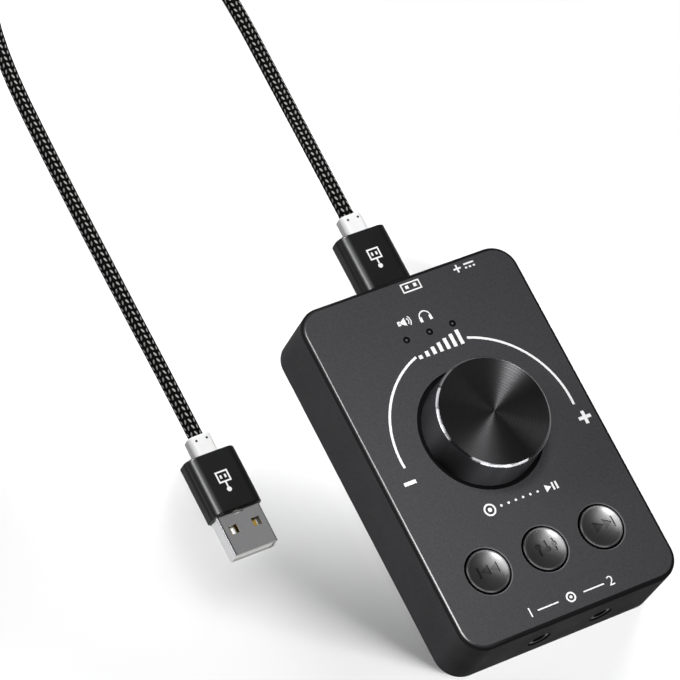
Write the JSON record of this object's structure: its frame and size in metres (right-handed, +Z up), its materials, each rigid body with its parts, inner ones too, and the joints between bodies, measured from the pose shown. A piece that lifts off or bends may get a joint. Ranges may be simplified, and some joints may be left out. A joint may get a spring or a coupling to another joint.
{
  "type": "usb volume control knob",
  "caption": "Flat desk controller with a turning, pressing dial, three push buttons, status lights, audio and power sockets and a plugged-in braided cord with its put-away coil.",
  "frame": {"origin": "under the middle of the housing, on the surface that the feet stand on", "axes": "+Z up, +Y towards the rear wall with the USB and power sockets, +X to the right of someone who faces the front wall's audio sockets"},
  "size_m": [0.0992, 0.2575, 0.029],
  "materials": {
    "cover_plastic": "fine sandy satin, dark grey",
    "floor_plastic": "fine matte",
    "foot_rubber": "matte",
    "screw_steel": "zinc plated",
    "board_laminate": "solder mask",
    "black_moulding": "moulded matte",
    "plated_steel": "nickel plated",
    "contact_brass": "gold plated",
    "dial_metal": "turned and anodised dark grey",
    "hub_plastic": "moulded matte",
    "button_plastic": "satin, dark grey",
    "light_clear": "clear",
    "lamp_white": "milky",
    "socket_plastic": "moulded white",
    "capacitor_can": "printed sleeve",
    "plug_plastic": "satin black",
    "collar_white": "satin white",
    "plug_metal": "nickel plated",
    "plug_core_white": "moulded white",
    "cord_braid": "braided black and white nylon",
    "tie_fabric": "hook and loop strap"
  },
  "bodies": {
    "housing": {"amplifier_chips": "black_moulding", "audio_chip": "black_moulding", "audio_contacts_left": "contact_brass", "audio_contacts_right": "contact_brass", "audio_socket_left": "black_moulding", "audio_socket_right": "black_moulding", "board_screws": "screw_steel", "bottom_cover": "floor_plastic", "capacitors": "capacitor_can", "cover_screws": "screw_steel", "crystal": "plated_steel", "encoder_base": "black_moulding", "encoder_bushing": "contact_brass", "encoder_dome": "plated_steel", "encoder_frame": "plated_steel", "encoder_pins": "contact_brass", "foot_front_left": "foot_rubber", "foot_front_right": "foot_rubber", "foot_rear_left": "foot_rubber", "foot_rear_right": "foot_rubber", "lamps": "lamp_white", "light_guide": "light_clear", "main_board": "board_laminate", "power_socket_shell": "plated_steel", "power_socket_tongue": "socket_plastic", "switch_base_mode": "black_moulding", "switch_base_next": "black_moulding", "switch_base_previous": "black_moulding", "switch_lid_mode": "plated_steel", "switch_lid_next": "plated_steel", "switch_lid_previous": "plated_steel", "top_cover": "cover_plastic", "usb_socket_contacts": "contact_brass", "usb_socket_shell": "plated_steel", "usb_socket_tongue": "socket_plastic"},
    "encoder": {"encoder_rotor": "black_moulding"},
    "dial": {"encoder_shaft": "plated_steel", "dial_cap": "dial_metal", "dial_hub": "hub_plastic"},
    "previous_button": {"button_previous": "button_plastic", "switch_plunger_previous": "black_moulding"},
    "mode_button": {"button_mode": "button_plastic", "switch_plunger_mode": "black_moulding"},
    "next_button": {"button_next": "button_plastic", "switch_plunger_next": "black_moulding"},
    "cable": {"cord_coil": "cord_braid", "cord_far": "cord_braid", "cord_near": "cord_braid", "cord_tie": "tie_fabric", "far_plug_body": "plug_plastic", "far_plug_collar": "collar_white", "far_plug_contacts": "contact_brass", "far_plug_core": "plug_core_white", "far_plug_shell": "plug_metal", "near_plug_body": "plug_plastic", "near_plug_collar": "collar_white", "near_plug_contacts": "contact_brass", "near_plug_core": "plug_core_white", "near_plug_shell": "plug_metal"}
  },
  "joints": [
    {"name": "dial_turn", "type": "hinge", "parent": "housing", "child": "encoder", "pos_m": [0, 0.0043, 0.0093], "axis": [0, 0, 1], "continuous": true},
    {"name": "dial_press", "type": "slide", "parent": "encoder", "child": "dial", "axis": [0, 0, -1], "range_m": [0, 0.0005], "stiffness_N_per_m": 4000, "springref_m": -0.0005},
    {"name": "previous_press", "type": "slide", "parent": "housing", "child": "previous_button", "axis": [0, 0, -1], "range_m": [0, 0.00025], "stiffness_N_per_m": 3000, "springref_m": -0.00025},
    {"name": "mode_press", "type": "slide", "parent": "housing", "child": "mode_button", "axis": [0, 0, -1], "range_m": [0, 0.00025], "stiffness_N_per_m": 3000, "springref_m": -0.00025},
    {"name": "next_press", "type": "slide", "parent": "housing", "child": "next_button", "axis": [0, 0, -1], "range_m": [0, 0.00025], "stiffness_N_per_m": 3000, "springref_m": -0.00025},
    {"name": "plug_pull", "type": "slide", "parent": "housing", "child": "cable", "axis": [0, 1, 0], "range_m": [0, 0.012]}
  ]
}
